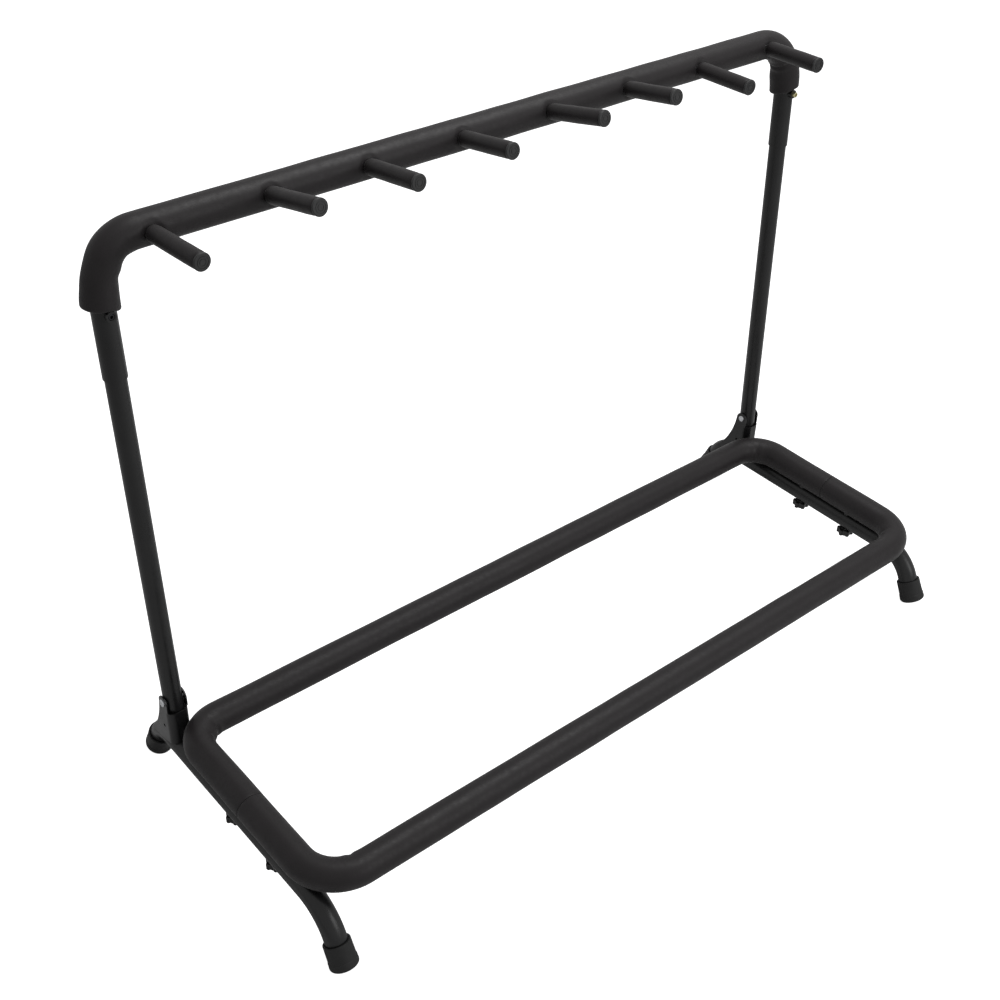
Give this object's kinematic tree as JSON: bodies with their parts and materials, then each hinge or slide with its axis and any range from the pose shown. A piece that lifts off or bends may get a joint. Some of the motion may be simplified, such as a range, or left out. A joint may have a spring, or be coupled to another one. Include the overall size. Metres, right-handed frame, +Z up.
{
  "type": "guitar rack",
  "caption": "Free-standing folding floor rack for guitars: padded base ring for the bodies, fold-down back frame with a padded top bar and neck pegs.",
  "frame": {"origin": "on the floor, under the middle of the whole rack's box", "axes": "+X to the rack's right seen from the front, along the bars; +Y to the back, where the back frame stands; +Z up"},
  "size_m": [0.8988, 0.3796, 0.6457],
  "materials": {
    "black_powder_coat": "satin black powder coat on steel tube and sheet",
    "black_foam": "matte closed-cell foam sleeve, charcoal black",
    "boot_rubber": "moulded black rubber, matte",
    "black_plastic": "moulded black plastic, fine satin",
    "knob_plastic": "moulded black plastic, glossy",
    "zinc_plate": "bright zinc plating",
    "yellow_zinc": "yellow passivated zinc plating"
  },
  "bodies": {
    "base": {"left_leg": "black_powder_coat", "left_front_boot": "boot_rubber", "left_rear_boot": "boot_rubber", "left_bracket": "black_powder_coat", "left_pivot_rivet": "zinc_plate", "right_leg": "black_powder_coat", "right_front_boot": "boot_rubber", "right_rear_boot": "boot_rubber", "right_bracket": "black_powder_coat", "right_pivot_rivet": "zinc_plate", "front_base_tube": "black_powder_coat", "front_base_foam": "black_foam", "rear_base_tube": "black_powder_coat", "rear_base_foam": "black_foam", "rivet_nuts": "zinc_plate", "ring_spacers": "black_powder_coat"},
    "back_frame": {"left_upright": "black_powder_coat", "left_sleeve": "black_powder_coat", "right_upright": "black_powder_coat", "right_sleeve": "black_powder_coat", "lock_nuts": "black_powder_coat"},
    "top_bar": {"top_tube": "black_powder_coat", "top_foam": "black_foam", "peg_1_rod": "zinc_plate", "peg_1_foam": "black_foam", "peg_1_cap": "black_plastic", "peg_2_rod": "zinc_plate", "peg_2_foam": "black_foam", "peg_2_cap": "black_plastic", "peg_3_rod": "zinc_plate", "peg_3_foam": "black_foam", "peg_3_cap": "black_plastic", "peg_4_rod": "zinc_plate", "peg_4_foam": "black_foam", "peg_4_cap": "black_plastic", "peg_5_rod": "zinc_plate", "peg_5_foam": "black_foam", "peg_5_cap": "black_plastic", "peg_6_rod": "zinc_plate", "peg_6_foam": "black_foam", "peg_6_cap": "black_plastic", "peg_7_rod": "zinc_plate", "peg_7_foam": "black_foam", "peg_7_cap": "black_plastic", "peg_8_rod": "zinc_plate", "peg_8_foam": "black_foam", "peg_8_cap": "black_plastic"},
    "left_front_knob_body": {"left_front_knob": "knob_plastic", "left_front_knob_stud": "zinc_plate"},
    "left_rear_knob_body": {"left_rear_knob": "knob_plastic", "left_rear_knob_stud": "zinc_plate"},
    "left_lock_screw_body": {"left_lock_screw": "yellow_zinc"},
    "right_front_knob_body": {"right_front_knob": "knob_plastic", "right_front_knob_stud": "zinc_plate"},
    "right_rear_knob_body": {"right_rear_knob": "knob_plastic", "right_rear_knob_stud": "zinc_plate"},
    "right_lock_screw_body": {"right_lock_screw": "yellow_zinc"}
  },
  "joints": [
    {"name": "back_frame_fold", "type": "hinge", "parent": "base", "child": "back_frame", "pos_m": [0, 0.1272, 0.1139], "axis": [1, 0, 0], "range_deg": [0, 92]},
    {"name": "top_bar_lift", "type": "slide", "parent": "back_frame", "child": "top_bar", "axis": [0, 0.0785, 0.9969], "range_m": [0, 0.034]},
    {"name": "left_front_knob_turn", "type": "hinge", "parent": "base", "child": "left_front_knob_body", "pos_m": [-0.433, -0.05967, 0.04555], "axis": [0, 0.0332, 0.9995], "continuous": true},
    {"name": "left_rear_knob_turn", "type": "hinge", "parent": "base", "child": "left_rear_knob_body", "pos_m": [-0.433, 0.01529, 0.04307], "axis": [0, 0.0332, 0.9995], "continuous": true},
    {"name": "left_lock_screw_turn", "type": "hinge", "parent": "back_frame", "child": "left_lock_screw_body", "pos_m": [-0.433, 0.16192, 0.55503], "axis": [0, -0.9969, 0.0785], "continuous": true},
    {"name": "right_front_knob_turn", "type": "hinge", "parent": "base", "child": "right_front_knob_body", "pos_m": [0.433, -0.05967, 0.04555], "axis": [0, 0.0332, 0.9995], "continuous": true},
    {"name": "right_rear_knob_turn", "type": "hinge", "parent": "base", "child": "right_rear_knob_body", "pos_m": [0.433, 0.01529, 0.04307], "axis": [0, 0.0332, 0.9995], "continuous": true},
    {"name": "right_lock_screw_turn", "type": "hinge", "parent": "back_frame", "child": "right_lock_screw_body", "pos_m": [0.433, 0.16192, 0.55503], "axis": [0, -0.9969, 0.0785], "continuous": true}
  ]
}
